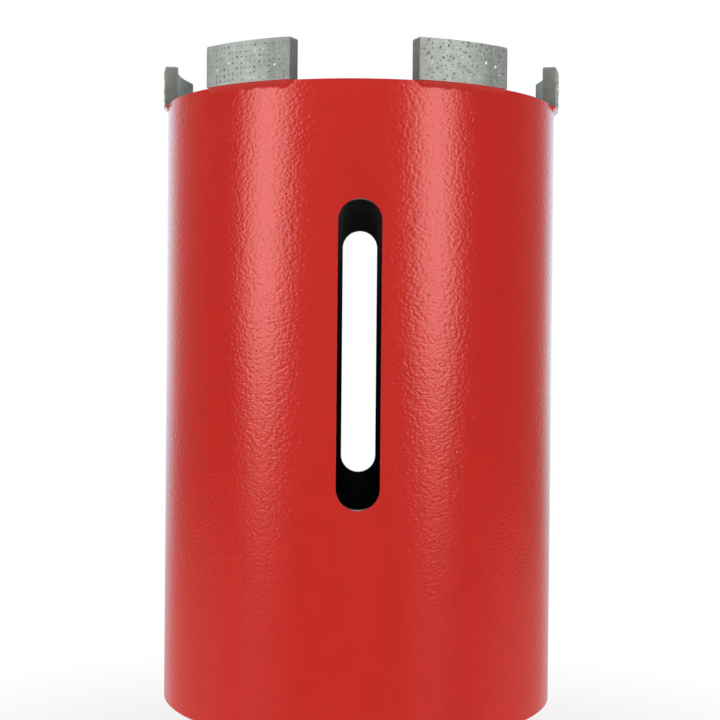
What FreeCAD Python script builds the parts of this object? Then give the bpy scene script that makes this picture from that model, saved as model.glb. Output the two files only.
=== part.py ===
import FreeCAD, Part
import math
import os
import Sketcher

# Dry diamond core bit, standing on its threaded hub with the cutting ring up.
# Origin: centre of the hub's end face. +Z runs up the bit's axis. The front slot faces -Y.
# All lengths are in millimetres and all angles in degrees.

document = FreeCAD.newDocument("DiamondCoreBit")

SIZES = [
    ("tube_outer_diameter", 100.0, "steel barrel"),
    ("tube_wall", 2.0, "barrel wall"),
    ("tube_length", 152.0, "closed end to rim"),
    ("tube_end_chamfer", 0.6, "outer edge at the closed end"),
    ("slot_width", 10.1, "round-ended slots"),
    ("slot_length", 71.2, "over the round ends"),
    ("slot_setback", 27.2, "rim to the slot's nearer end"),
    ("segment_overhang", 1.0, "segments beyond the barrel's outer face, radial"),
    ("segment_length", 24.1, "across the parallel ends"),
    ("segment_thickness", 3.3, "radial"),
    ("segment_height", 9.8, "above the rim"),
    ("segment_edge_radius", 0.5, "pressed crown and corner edges"),
    ("seat_1_angle", -32.5, "segment centre from the front, front left"),
    ("seat_2_angle", 28.7, "front right"),
    ("seat_3_angle", 87.2, "right side"),
    ("seat_4_angle", 147.5, "rear right"),
    ("seat_5_angle", -152.5, "rear left"),
    ("seat_6_angle", -92.5, "left side"),
    ("seam_height", 2.2, "weld seam down the barrel"),
    ("seam_setback", 0.1, "seam inside the segment's outer face"),
    ("seam_hollow_radius", 5.0, "hollow of the seam's face"),
    ("plate_thickness", 10.0, "end plate"),
    ("plate_recess", 2.0, "plate's outer face inside the tube's end"),
    ("plate_clearance", 0.05, "radial, plate in the tube"),
    ("plate_edge_chamfer", 1.0, "inner edge of the plate"),
    ("plate_weld_leg", 1.6, "ring weld, tube to plate"),
    ("hub_reach", 24.0, "hub beyond the tube's end"),
    ("hub_across_flats", 32.0, "spanner flats"),
    ("hub_flats_length", 17.0, "along the axis"),
    ("hub_corner_angle", 30.0, "turned chamfer on the hexagon's corners"),
    ("hub_collar_diameter", 41.0, "welding collar"),
    ("hub_spigot_diameter", 27.0, "through the plate"),
    ("hub_spigot_clearance", 0.05, "radial, spigot in the plate"),
    ("hub_spigot_setback", 1.0, "spigot's end inside the plate's inner face"),
    ("hub_weld_leg", 4.0, "ring weld, collar to plate"),
    ("thread_minor_diameter", 18.631, "crests of the half-inch pipe thread"),
    ("thread_mouth_chamfer", 1.2, "45 degree lead-in at the hub's end"),
    ("thread_runout_chamfer", 0.8, "45 degree break at the spigot's end"),
    ("weld_face_ratio", 1.6, "radius of a ring weld's face over its leg"),
]


def fill_sheet():
    sheet = document.addObject("Spreadsheet::Sheet", "Sizes")
    for row, (alias, value, note) in enumerate(SIZES, start=1):
        sheet.set(f"A{row}", alias)
        sheet.set(f"B{row}", str(value))
        sheet.set(f"C{row}", note)
        sheet.setAlias(f"B{row}", alias)
    document.recompute()
    return sheet


sheet = fill_sheet()


def size(alias):
    return float(sheet.get(alias))


def cutting_radius():
    return size("tube_outer_diameter") / 2 + size("segment_overhang")


SAME_PLACE = 1e-6

# Heights and radii that several pieces share, as expressions on the sheet.
TUBE_RADIUS = "Sizes.tube_outer_diameter / 2"
TUBE_BORE = "(Sizes.tube_outer_diameter / 2 - Sizes.tube_wall)"
RIM_HEIGHT = "(Sizes.hub_reach + Sizes.tube_length)"
PLATE_HEIGHT = "(Sizes.hub_reach + Sizes.plate_recess)"
CUTTING_RADIUS = "(Sizes.tube_outer_diameter / 2 + Sizes.segment_overhang)"
HUB_BORE = "Sizes.thread_minor_diameter / 2"
SPIGOT_RADIUS = "Sizes.hub_spigot_diameter / 2"


def placed_body(label, height, turn="0"):
    body = document.addObject("PartDesign::Body", label)
    body.Label = label
    body.setExpression(
        "Placement",
        f"create(<<placement>>; create(<<vector>>; 0; 0; {height});"
        f" create(<<rotation>>; create(<<vector>>; 0; 0; 1); {turn}))",
    )
    return body


def sketch_on(body, name, role):
    sketch = body.newObject("Sketcher::SketchObject", name)
    plane = next(item for item in body.Origin.OriginFeatures if item.Role == role)
    sketch.AttachmentSupport = [(plane, "")]
    sketch.MapMode = "FlatFace"
    return sketch


def bind(sketch, constraint, name, expression):
    index = sketch.addConstraint(constraint)
    sketch.renameConstraint(index, name)
    sketch.setExpression(f"Constraints.{name}", expression)


def pin_point(sketch, element, end, name, across, up, across_now=1.0, up_now=1.0):
    # Holds one end of an element at (across, up), both given as sheet expressions. Element -1
    # is a sketch's horizontal axis, whose point 1 is the origin, and -2 is its vertical axis.
    if across == "0":
        sketch.addConstraint(Sketcher.Constraint("PointOnObject", element, end, -2))
    else:
        place = Sketcher.Constraint("DistanceX", -1, 1, element, end, across_now)
        bind(sketch, place, f"{name}_across", across)
    if up == "0":
        sketch.addConstraint(Sketcher.Constraint("PointOnObject", element, end, -1))
    else:
        place = Sketcher.Constraint("DistanceY", -1, 1, element, end, up_now)
        bind(sketch, place, f"{name}_up", up)


def draw_outline(sketch, corners):
    # A closed outline of straight edges through corners given as (across, up) expressions.
    count = len(corners)
    start = [
        FreeCAD.Vector(math.cos(2 * math.pi * k / count), math.sin(2 * math.pi * k / count), 0)
        for k in range(count)
    ]
    for k in range(count):
        sketch.addGeometry(Part.LineSegment(start[k], start[(k + 1) % count]), False)
    for k in range(count):
        sketch.addConstraint(Sketcher.Constraint("Coincident", k, 2, (k + 1) % count, 1))
    for k, (across, up) in enumerate(corners):
        pin_point(sketch, k, 1, f"corner_{k + 1}", across, up)


def weld_face(start, end, corner, radius, form):
    # The short arc of the given radius between two points. A swollen face leans away from
    # the corner that the weld fills, and a hollow one leans towards it.
    half = (end - start) * 0.5
    middle = start + half
    away = FreeCAD.Vector(-half.y, half.x, 0).normalize()
    if (middle - corner).dot(away) < 0:
        away = away * -1
    if form == "hollow":
        away = away * -1
    centre = middle - away * math.sqrt(radius**2 - half.Length**2)
    heading = math.atan2(away.y, away.x)
    half_angle = math.asin(half.Length / radius)
    circle = Part.Circle(centre, FreeCAD.Vector(0, 0, 1), radius)
    return Part.ArcOfCircle(circle, heading - half_angle, heading + half_angle)


def draw_weld_section(sketch, wall, face, drop, radius, form):
    # A weld in the corner under z = 0, between a round wall and a flat face above. Each of
    # wall, face, drop and radius is a pair: its expression on the sheet and its value now.
    corner = FreeCAD.Vector(wall[1], 0, 0)
    tip = FreeCAD.Vector(face[1], 0, 0)
    foot = FreeCAD.Vector(wall[1], -drop[1], 0)
    sketch.addGeometry(Part.LineSegment(corner, tip), False)
    sketch.addGeometry(weld_face(tip, foot, corner, radius[1], form), False)
    sketch.addGeometry(Part.LineSegment(foot, corner), False)
    starts_at_tip = sketch.Geometry[1].StartPoint.isEqual(tip, SAME_PLACE)
    tip_end, foot_end = (1, 2) if starts_at_tip else (2, 1)
    sketch.addConstraint(Sketcher.Constraint("Coincident", 0, 2, 1, tip_end))
    sketch.addConstraint(Sketcher.Constraint("Coincident", 1, foot_end, 2, 1))
    sketch.addConstraint(Sketcher.Constraint("Coincident", 2, 2, 0, 1))
    pin_point(sketch, 0, 1, "corner", wall[0], "0", wall[1])
    pin_point(sketch, 0, 2, "tip", face[0], "0", face[1])
    pin_point(sketch, 2, 1, "foot", wall[0], f"-{drop[0]}", wall[1], -drop[1])
    bind(sketch, Sketcher.Constraint("Radius", 1, radius[1]), "face_radius", radius[0])


def turn_feature(body, kind, name, sketch):
    feature = body.newObject(f"PartDesign::{kind}", name)
    feature.Profile = sketch
    feature.ReferenceAxis = (sketch, ["V_Axis"])
    feature.Angle = 360
    sketch.Visibility = False
    return feature


def make_barrel():
    body = placed_body("barrel", "Sizes.hub_reach")

    wall = sketch_on(body, "wall_section", "XZ_Plane")
    draw_outline(
        wall,
        [
            (TUBE_BORE, "0"),
            (f"{TUBE_RADIUS} - Sizes.tube_end_chamfer", "0"),
            (TUBE_RADIUS, "Sizes.tube_end_chamfer"),
            (TUBE_RADIUS, "Sizes.tube_length"),
            (TUBE_BORE, "Sizes.tube_length"),
        ],
    )
    turn_feature(body, "Revolution", "tube", wall)

    # One cut across the tube makes the front and the rear slot in line.
    slot = sketch_on(body, "slot_outline", "XZ_Plane")
    half_width = size("slot_width") / 2
    top = size("tube_length") - size("slot_setback") - half_width
    bottom = top - size("slot_length") + 2 * half_width
    upper_left = FreeCAD.Vector(-half_width, top, 0)
    upper_right = FreeCAD.Vector(half_width, top, 0)
    lower_left = FreeCAD.Vector(-half_width, bottom, 0)
    lower_right = FreeCAD.Vector(half_width, bottom, 0)
    axis = FreeCAD.Vector(0, 0, 1)
    upper_circle = Part.Circle(FreeCAD.Vector(0, top, 0), axis, half_width)
    lower_circle = Part.Circle(FreeCAD.Vector(0, bottom, 0), axis, half_width)
    slot_edges = [
        Part.ArcOfCircle(upper_circle, 0, math.pi),
        Part.LineSegment(upper_left, lower_left),
        Part.ArcOfCircle(lower_circle, math.pi, 2 * math.pi),
        Part.LineSegment(lower_right, upper_right),
    ]
    for element in slot_edges:
        slot.addGeometry(element, False)
    for k in range(4):
        slot.addConstraint(Sketcher.Constraint("Tangent", k, 2, (k + 1) % 4, 1))
    slot.addConstraint(Sketcher.Constraint("PointOnObject", 0, 3, -2))
    slot.addConstraint(Sketcher.Constraint("Vertical", 1))
    bind(slot, Sketcher.Constraint("Radius", 0, half_width), "end_radius", "Sizes.slot_width / 2")
    upper_centre = Sketcher.Constraint("DistanceY", -1, 1, 0, 3, top)
    bind(
        slot,
        upper_centre,
        "upper_centre",
        "Sizes.tube_length - Sizes.slot_setback - Sizes.slot_width / 2",
    )
    centre_distance = Sketcher.Constraint("DistanceY", 2, 3, 0, 3, top - bottom)
    bind(slot, centre_distance, "centre_distance", "Sizes.slot_length - Sizes.slot_width")

    cut = body.newObject("PartDesign::Pocket", "slots")
    cut.Profile = slot
    cut.Type = "ThroughAll"
    cut.SideType = "Symmetric"
    slot.Visibility = False
    return body


def crown_edges(solid, height):
    # The edges round the top face and the four upright corners. The seated base stays sharp.
    names = []
    for number, edge in enumerate(solid.Edges, start=1):
        at_top = edge.BoundBox.ZMin > height - SAME_PLACE
        upright = edge.BoundBox.ZLength > height - SAME_PLACE
        if at_top or upright:
            names.append(f"Edge{number}")
    return names


def station_turn(number):
    # Seat angles count from the front (-Y), and a piece is drawn about its own +X.
    return f"Sizes.seat_{number}_angle - 90"


def make_segment(number):
    body = placed_body(f"segment_{number}", RIM_HEIGHT, station_turn(number))

    # A curved bar: both faces follow the tube, and both ends are parallel to its mid radius.
    plan = sketch_on(body, f"segment_plan_{number}", "XY_Plane")
    half_length = size("segment_length") / 2
    outer = cutting_radius()
    inner = outer - size("segment_thickness")
    outer_angle = math.asin(half_length / outer)
    inner_angle = math.asin(half_length / inner)
    axis = FreeCAD.Vector(0, 0, 1)
    centre = FreeCAD.Vector(0, 0, 0)
    outer_arc = Part.ArcOfCircle(Part.Circle(centre, axis, outer), -outer_angle, outer_angle)
    inner_arc = Part.ArcOfCircle(Part.Circle(centre, axis, inner), -inner_angle, inner_angle)
    plan.addGeometry(outer_arc, False)
    plan.addGeometry(Part.LineSegment(outer_arc.EndPoint, inner_arc.EndPoint), False)
    plan.addGeometry(inner_arc, False)
    plan.addGeometry(Part.LineSegment(inner_arc.StartPoint, outer_arc.StartPoint), False)
    plan.addConstraint(Sketcher.Constraint("Coincident", 0, 2, 1, 1))
    plan.addConstraint(Sketcher.Constraint("Coincident", 1, 2, 2, 2))
    plan.addConstraint(Sketcher.Constraint("Coincident", 2, 1, 3, 1))
    plan.addConstraint(Sketcher.Constraint("Coincident", 3, 2, 0, 1))
    plan.addConstraint(Sketcher.Constraint("Coincident", 0, 3, -1, 1))
    plan.addConstraint(Sketcher.Constraint("Coincident", 2, 3, -1, 1))
    plan.addConstraint(Sketcher.Constraint("Horizontal", 1))
    plan.addConstraint(Sketcher.Constraint("Horizontal", 3))
    bind(plan, Sketcher.Constraint("Radius", 0, outer), "outer_radius", CUTTING_RADIUS)
    bind(
        plan,
        Sketcher.Constraint("Radius", 2, inner),
        "inner_radius",
        f"{CUTTING_RADIUS} - Sizes.segment_thickness",
    )
    for element, end, name, side in ((0, 2, "left_end", ""), (0, 1, "right_end", "-")):
        place = Sketcher.Constraint("DistanceY", -1, 1, element, end, half_length)
        bind(plan, place, name, f"{side}Sizes.segment_length / 2")

    bar = body.newObject("PartDesign::Pad", f"segment_bar_{number}")
    bar.Profile = plan
    bar.setExpression("Length", "Sizes.segment_height")
    plan.Visibility = False
    document.recompute()

    crown = body.newObject("PartDesign::Fillet", f"segment_crown_{number}")
    crown.Base = (bar, crown_edges(bar.Shape, size("segment_height")))
    crown.setExpression("Radius", "Sizes.segment_edge_radius")
    return body


def make_segment_weld(number):
    body = placed_body(f"segment_weld_{number}", RIM_HEIGHT, station_turn(number))
    section = sketch_on(body, f"seam_section_{number}", "XZ_Plane")
    draw_weld_section(
        section,
        (TUBE_RADIUS, size("tube_outer_diameter") / 2),
        (f"{CUTTING_RADIUS} - Sizes.seam_setback", cutting_radius() - size("seam_setback")),
        ("Sizes.seam_height", size("seam_height")),
        ("Sizes.seam_hollow_radius", size("seam_hollow_radius")),
        "hollow",
    )
    seam = turn_feature(body, "Revolution", f"seam_{number}", section)
    seam.Midplane = True
    seam.setExpression("Angle", f"2 * asin(Sizes.segment_length / 2 / {CUTTING_RADIUS})")
    return body


def make_end_plate():
    body = placed_body("end_plate", PLATE_HEIGHT)
    section = sketch_on(body, "plate_section", "XZ_Plane")
    edge = f"{TUBE_BORE} - Sizes.plate_clearance"
    bore = f"{SPIGOT_RADIUS} + Sizes.hub_spigot_clearance"
    draw_outline(
        section,
        [
            (bore, "0"),
            (edge, "0"),
            (edge, "Sizes.plate_thickness - Sizes.plate_edge_chamfer"),
            (f"{edge} - Sizes.plate_edge_chamfer", "Sizes.plate_thickness"),
            (bore, "Sizes.plate_thickness"),
        ],
    )
    turn_feature(body, "Revolution", "plate_disc", section)
    return body


def make_plate_weld():
    body = placed_body("plate_weld", PLATE_HEIGHT)
    section = sketch_on(body, "plate_weld_section", "XZ_Plane")
    tube_bore = size("tube_outer_diameter") / 2 - size("tube_wall")
    leg = size("plate_weld_leg")
    draw_weld_section(
        section,
        (TUBE_BORE, tube_bore),
        (f"{TUBE_BORE} - Sizes.plate_weld_leg", tube_bore - leg),
        ("Sizes.plate_weld_leg", leg),
        ("Sizes.plate_weld_leg * Sizes.weld_face_ratio", leg * size("weld_face_ratio")),
        "swollen",
    )
    turn_feature(body, "Revolution", "plate_weld_ring", section)
    return body


def make_hub_weld():
    body = placed_body("hub_weld", PLATE_HEIGHT)
    section = sketch_on(body, "hub_weld_section", "XZ_Plane")
    collar = size("hub_collar_diameter") / 2
    leg = size("hub_weld_leg")
    draw_weld_section(
        section,
        ("Sizes.hub_collar_diameter / 2", collar),
        ("Sizes.hub_collar_diameter / 2 + Sizes.hub_weld_leg", collar + leg),
        ("Sizes.hub_weld_leg", leg),
        ("Sizes.hub_weld_leg * Sizes.weld_face_ratio", leg * size("weld_face_ratio")),
        "swollen",
    )
    turn_feature(body, "Revolution", "hub_weld_ring", section)
    return body


def make_threaded_hub():
    body = placed_body("threaded_hub", "0")

    hexagon = sketch_on(body, "flats_outline", "XY_Plane")
    half_flats = "Sizes.hub_across_flats / 2"
    half_side = "Sizes.hub_across_flats / (2 * sqrt(3))"
    corner = "Sizes.hub_across_flats / sqrt(3)"
    draw_outline(
        hexagon,
        [
            (half_flats, half_side),
            ("0", corner),
            (f"-{half_flats}", half_side),
            (f"-{half_flats}", f"-{half_side}"),
            ("0", f"-{corner}"),
            (half_flats, f"-{half_side}"),
        ],
    )
    flats = body.newObject("PartDesign::Pad", "flats")
    flats.Profile = hexagon
    flats.setExpression("Length", "Sizes.hub_flats_length")
    hexagon.Visibility = False

    # A turned chamfer leaves the curved ends of the six corners. Its cutter reaches well
    # beyond them.
    corners = sketch_on(body, "corner_chamfer_section", "XZ_Plane")
    beyond = "Sizes.hub_across_flats"
    draw_outline(
        corners,
        [
            (half_flats, "0"),
            (beyond, "0"),
            (beyond, f"({beyond} - {half_flats}) * tan(Sizes.hub_corner_angle)"),
        ],
    )
    turn_feature(body, "Groove", "corner_chamfer", corners)

    shank = sketch_on(body, "shank_section", "XZ_Plane")
    spigot_end = f"{PLATE_HEIGHT} + Sizes.plate_thickness - Sizes.hub_spigot_setback"
    draw_outline(
        shank,
        [
            ("0", "Sizes.hub_flats_length"),
            ("Sizes.hub_collar_diameter / 2", "Sizes.hub_flats_length"),
            ("Sizes.hub_collar_diameter / 2", PLATE_HEIGHT),
            (SPIGOT_RADIUS, PLATE_HEIGHT),
            (SPIGOT_RADIUS, spigot_end),
            ("0", spigot_end),
        ],
    )
    turn_feature(body, "Revolution", "collar_and_spigot", shank)

    # The bore at the thread's crests, with a lead-in at the mouth and a break at the far end.
    bore = sketch_on(body, "bore_section", "XZ_Plane")
    draw_outline(
        bore,
        [
            ("0", "0"),
            (f"{HUB_BORE} + Sizes.thread_mouth_chamfer", "0"),
            (HUB_BORE, "Sizes.thread_mouth_chamfer"),
            (HUB_BORE, f"{spigot_end} - Sizes.thread_runout_chamfer"),
            (f"{HUB_BORE} + Sizes.thread_runout_chamfer", spigot_end),
            ("0", spigot_end),
        ],
    )
    turn_feature(body, "Groove", "bore", bore)
    return body


SEGMENT_NUMBERS = range(1, 7)

subparts = [make_barrel(), make_end_plate(), make_plate_weld(), make_threaded_hub(), make_hub_weld()]
for number in SEGMENT_NUMBERS:
    subparts.append(make_segment(number))
    subparts.append(make_segment_weld(number))

document.recompute()

for item in document.Objects:
    if "Invalid" in item.State or "Error" in item.State:
        raise RuntimeError(f"{item.Name} failed to recompute: {item.State}")
for body in subparts:
    if body.Shape.isNull() or not body.Shape.isValid() or len(body.Shape.Solids) != 1:
        raise RuntimeError(f"{body.Label} isn't one valid solid")

os.makedirs("parts", exist_ok=True)
for body in subparts:
    body.Shape.exportStep(f"parts/{body.Label}.step")
    print(f"{body.Label}: {body.Shape.Volume:.1f} mm3")
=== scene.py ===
import math
import random

import bpy
from mathutils import Euler, Matrix, Vector


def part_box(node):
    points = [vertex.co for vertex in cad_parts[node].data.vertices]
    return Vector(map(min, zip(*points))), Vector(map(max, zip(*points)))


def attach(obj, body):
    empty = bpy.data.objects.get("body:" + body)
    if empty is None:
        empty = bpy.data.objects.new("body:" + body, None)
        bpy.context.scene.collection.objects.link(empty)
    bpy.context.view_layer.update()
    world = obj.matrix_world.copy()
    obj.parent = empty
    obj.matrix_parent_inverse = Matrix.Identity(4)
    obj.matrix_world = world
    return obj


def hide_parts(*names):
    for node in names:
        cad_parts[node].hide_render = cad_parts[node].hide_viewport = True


# A dry diamond core bit on a pale studio table: it stands on its threaded hub, segments up.
# Lengths are in metres, and the bit's axis is Z. A piece that replaces a CAD node takes its
# place and its main sizes from that node.

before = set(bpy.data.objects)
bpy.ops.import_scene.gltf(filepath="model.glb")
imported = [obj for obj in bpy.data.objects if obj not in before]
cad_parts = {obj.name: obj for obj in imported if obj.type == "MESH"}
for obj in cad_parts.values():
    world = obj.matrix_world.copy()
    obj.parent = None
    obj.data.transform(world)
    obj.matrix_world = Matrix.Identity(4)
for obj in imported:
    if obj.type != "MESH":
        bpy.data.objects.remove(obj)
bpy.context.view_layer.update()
mm = 0.001
roughTurn = 6.28  # a whole turn, near enough for a random tilt
print("frame loaded:", len(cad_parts), "nodes")


# Mesh helpers

def deselectAll():
    bpy.ops.object.select_all(action="DESELECT")


def makeActive(piece):
    deselectAll()
    piece.select_set(True)
    bpy.context.view_layer.objects.active = piece


def newPiece(name):
    # names the primitive that was just added
    piece = bpy.context.active_object
    piece.name = name
    piece.data.name = name
    return piece


def settle(piece):
    # puts the object at the origin, unturned and unscaled, with its place in its mesh
    makeActive(piece)
    bpy.ops.object.transform_apply(location=True, rotation=True, scale=True)


def applyModifier(piece, kind, **settings):
    makeActive(piece)
    modifier = piece.modifiers.new(kind.title(), kind)
    for key, value in settings.items():
        setattr(modifier, key, value)
    bpy.ops.object.modifier_apply(modifier=modifier.name)


def combine(piece, other, operation):
    # cuts, joins or crops a piece with another one, which is used up
    applyModifier(piece, "BOOLEAN", object=other, operation=operation, solver="EXACT")
    bpy.data.objects.remove(other)


def selectVertices(piece, test):
    # opens the piece in edit mode with only the vertices that pass the test selected
    makeActive(piece)
    bpy.ops.object.mode_set(mode="EDIT")
    bpy.ops.mesh.select_mode(type="VERT")
    bpy.ops.mesh.select_all(action="DESELECT")
    bpy.ops.object.mode_set(mode="OBJECT")
    for vertex in piece.data.vertices:
        vertex.select = test(vertex.co)
    bpy.ops.object.mode_set(mode="EDIT")


def editAll(piece):
    makeActive(piece)
    bpy.ops.object.mode_set(mode="EDIT")
    bpy.ops.mesh.select_all(action="SELECT")


def objectMode():
    bpy.ops.object.mode_set(mode="OBJECT")


def cleanUp(piece, distance=0.002 * mm):
    editAll(piece)
    bpy.ops.mesh.remove_doubles(threshold=distance)
    bpy.ops.mesh.normals_make_consistent(inside=False)
    objectMode()


def sliceOff(piece, point, direction):
    # cuts the piece with a plane, closes the cut and drops what lies on the side of direction
    editAll(piece)
    bpy.ops.mesh.bisect(plane_co=point, plane_no=direction, use_fill=True, clear_outer=True)
    objectMode()


def softenEdges(piece, width, steps, degrees=35):
    applyModifier(
        piece, "BEVEL", width=width, segments=steps,
        limit_method="ANGLE", angle_limit=math.radians(degrees),
    )


def shadeSmooth(piece, degrees):
    makeActive(piece)
    bpy.ops.object.shade_smooth_by_angle(angle=math.radians(degrees))


def turnAboutAxis(piece, angle):
    editAll(piece)
    bpy.ops.transform.rotate(value=-angle, orient_axis="Z", center_override=(0, 0, 0))
    objectMode()


def turnProfile(name, profile, steps, span=2 * math.pi):
    # spins a closed outline of (radius, height) corners about Z, from the front (-Y) round
    deselectAll()
    bpy.ops.mesh.primitive_circle_add(vertices=len(profile), fill_type="NOTHING")
    piece = newPiece(name)
    for vertex, (radius, height) in zip(piece.data.vertices, profile):
        vertex.co = (0, -radius, height)
    editAll(piece)
    bpy.ops.mesh.spin(steps=steps, angle=span, center=(0, 0, 0), axis=(0, 0, 1))
    objectMode()
    cleanUp(piece)
    return piece


def radiusOf(point):
    return math.hypot(point.x, point.y)


def frontAngle(point):
    # 0 at the front (-Y), growing towards +X
    return math.atan2(point.x, -point.y)


def nodePoints(node):
    return [vertex.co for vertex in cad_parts[node].data.vertices]


def measure(points):
    # the smallest and largest radius, and the lowest and highest height, of a round piece's points
    radii = [radiusOf(point) for point in points]
    heights = [point.z for point in points]
    return min(radii), max(radii), min(heights), max(heights)


def standFor(piece, node):
    # the piece takes the CAD node's place
    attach(piece, "root")
    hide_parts(node)


# Sizes read from the frame

barrelLow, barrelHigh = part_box("barrel")
tubeRadius = barrelHigh.x
tubeBore = measure(nodePoints("barrel"))[0]
rimHeight = barrelHigh.z
tubeEnd = barrelLow.z
segmentNumbers = range(1, 7)


# Shader helpers

def newMaterial(name):
    # a new material, its nodes and its main shader
    material = bpy.data.materials.new(name)
    material.use_nodes = True
    return material, material.node_tree, material.node_tree.nodes["Principled BSDF"]


def feed(tree, node, inputs):
    # gives each input its value, or links another node's output to it
    for label, value in inputs.items():
        socket = node.inputs[label]
        if isinstance(value, bpy.types.NodeSocket):
            tree.links.new(value, socket)
        elif socket.type == "RGBA":
            socket.default_value = (*value, 1.0)
        else:
            socket.default_value = value


def addNode(tree, kind, inputs=None, **settings):
    node = tree.nodes.new(kind)
    for key, value in settings.items():
        setattr(node, key, value)
    feed(tree, node, inputs or {})
    return node


def addPlace(tree):
    return addNode(tree, "ShaderNodeTexCoord").outputs["Object"]


def addSplit(tree, vector):
    return addNode(tree, "ShaderNodeSeparateXYZ", {"Vector": vector}).outputs


def addLength(tree, vector):
    node = addNode(tree, "ShaderNodeVectorMath", {0: vector}, operation="LENGTH")
    return node.outputs["Value"]


def addScaled(tree, vector, scale):
    # the place, with what is drawn on it squeezed or stretched along Z
    inputs = {"Vector": vector, "Scale": (1.0, 1.0, scale)}
    return addNode(tree, "ShaderNodeMapping", inputs).outputs["Vector"]


def addNoise(tree, vector, scale, detail, roughness=0.5):
    inputs = {"Vector": vector, "Scale": scale, "Detail": detail, "Roughness": roughness}
    return addNode(tree, "ShaderNodeTexNoise", inputs).outputs["Fac"]


def addCells(tree, vector, scale):
    inputs = {"Vector": vector, "Scale": scale}
    return addNode(tree, "ShaderNodeTexVoronoi", inputs, feature="F1").outputs["Distance"]


def addRange(tree, value, low, high, toLow=0.0, toHigh=1.0):
    # maps the values from low to high onto those from toLow to toHigh, and holds them there
    inputs = {
        "Value": value, "From Min": low, "From Max": high, "To Min": toLow, "To Max": toHigh,
    }
    return addNode(tree, "ShaderNodeMapRange", inputs).outputs["Result"]


def addMath(tree, operation, *values):
    node = addNode(tree, "ShaderNodeMath", dict(enumerate(values)), operation=operation)
    return node.outputs["Value"]


def addColourMix(tree, factor, first, second):
    inputs = {"Factor": factor, "A": first, "B": second}
    return addNode(tree, "ShaderNodeMix", inputs, data_type="RGBA").outputs["Result"]


def addShaderMix(tree, factor, first, second):
    inputs = {"Fac": factor, 1: first, 2: second}
    return addNode(tree, "ShaderNodeMixShader", inputs).outputs["Shader"]


def addRamp(tree, value, stops, interpolation="LINEAR"):
    # a colour ramp with a stop at each (position, colour)
    node = addNode(tree, "ShaderNodeValToRGB", {"Fac": value})
    ramp = node.color_ramp
    ramp.interpolation = interpolation
    while len(ramp.elements) < len(stops):
        ramp.elements.new(0.5)
    for stop, (position, colour) in zip(ramp.elements, stops):
        stop.position = position
        stop.color = (*colour, 1.0)
    return node.outputs["Color"]


def addBump(tree, height, depth):
    inputs = {"Height": height, "Distance": depth}
    return addNode(tree, "ShaderNodeBump", inputs).outputs["Normal"]


def startGroup(name, inputs, outputs):
    group = bpy.data.node_groups.new(name, "ShaderNodeTree")
    for label, value in inputs.items():
        socket = group.interface.new_socket(label, in_out="INPUT", socket_type="NodeSocketFloat")
        socket.default_value = value
    for label in outputs:
        group.interface.new_socket(label, in_out="OUTPUT", socket_type="NodeSocketFloat")
    return group, addNode(group, "NodeGroupInput"), addNode(group, "NodeGroupOutput")


def makeGrainGroup():
    # metal grain: a mask of fine specks, and one of broad cloudy patches
    group, given, result = startGroup(
        "metalGrain", {"SpeckScale": 3000.0, "PatchScale": 260.0}, ["Specks", "Patches"]
    )
    place = addPlace(group)
    for label, scale, detail in (("Specks", "SpeckScale", 3.0), ("Patches", "PatchScale", 2.0)):
        noise = addNoise(group, place, given.outputs[scale], detail)
        feed(group, result, {label: addRange(group, noise, 0.3, 0.7)})
    return group


metalGrain = makeGrainGroup()


def placeGrain(tree, look):
    # the grain's masks, at the look's own scales
    scales = {"SpeckScale": look["specksPerMetre"], "PatchScale": look["patchesPerMetre"]}
    return addNode(tree, "ShaderNodeGroup", scales, node_tree=metalGrain).outputs


# Finishes

powderCoat = {
    "colour": (0.575, 0.0235, 0.0165),
    "deepColour": (0.555, 0.0220, 0.0155),
    "roughness": 0.17,
    "indexOfRefraction": 1.8,
    "tint": (1.0, 0.52, 0.52),
    "mottlePerMetre": 160.0,
    "cellsPerMetre": 1090.0,
    "cellSquash": 1.32,
    "domeShare": 0.85,
    "swellPace": 0.9,  # of the cells' own
    "pitsPerMetre": 720.0,
    "pitReach": 0.34,
    "pitShare": 0.85,
    "peelDepth": 0.047 * mm,
}


def makePowderCoat():
    look = powderCoat
    material, tree, shader = newMaterial("redPowderCoat")
    place = addPlace(tree)
    mottle = addRange(tree, addNoise(tree, place, look["mottlePerMetre"], 3.0), 0.35, 0.65)
    # the skin that a powder coat sets with: low domes under a millimetre across, on a soft swell,
    # and small pits here and there
    squashed = addScaled(tree, place, look["cellSquash"])
    dip = addMath(tree, "POWER", addCells(tree, squashed, look["cellsPerMetre"]), 2.0)
    swell = addNoise(tree, squashed, look["cellsPerMetre"] * look["swellPace"], 1.0, 0.4)
    peel = addMath(tree, "MULTIPLY_ADD", dip, -look["domeShare"], swell)
    spots = addCells(tree, place, look["pitsPerMetre"])
    near = addRange(tree, spots, 0.0, look["pitReach"], 1.0, 0.0)
    pit = addMath(tree, "POWER", near, 2.0)
    skin = addMath(tree, "MULTIPLY_ADD", pit, -look["pitShare"], peel)
    feed(tree, shader, {
        "Base Color": addColourMix(tree, mottle, look["deepColour"], look["colour"]),
        "Roughness": look["roughness"],
        "IOR": look["indexOfRefraction"],
        "Specular Tint": look["tint"],
        "Normal": addBump(tree, skin, look["peelDepth"]),
    })
    return material


# colours of the steel inside the tube, darkened to paint in the shade that falls there
darkSteelAndShadeLook = {
    "colour": (0.0040, 0.0040, 0.0044),
    "paleColour": (0.0095, 0.0097, 0.0102),
    "roughness": 0.36,
    "specularLevel": 0.6,
    "specksPerMetre": 1800.0,
    "patchesPerMetre": 120.0,
    "grainDepth": 0.012 * mm,
}


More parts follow.
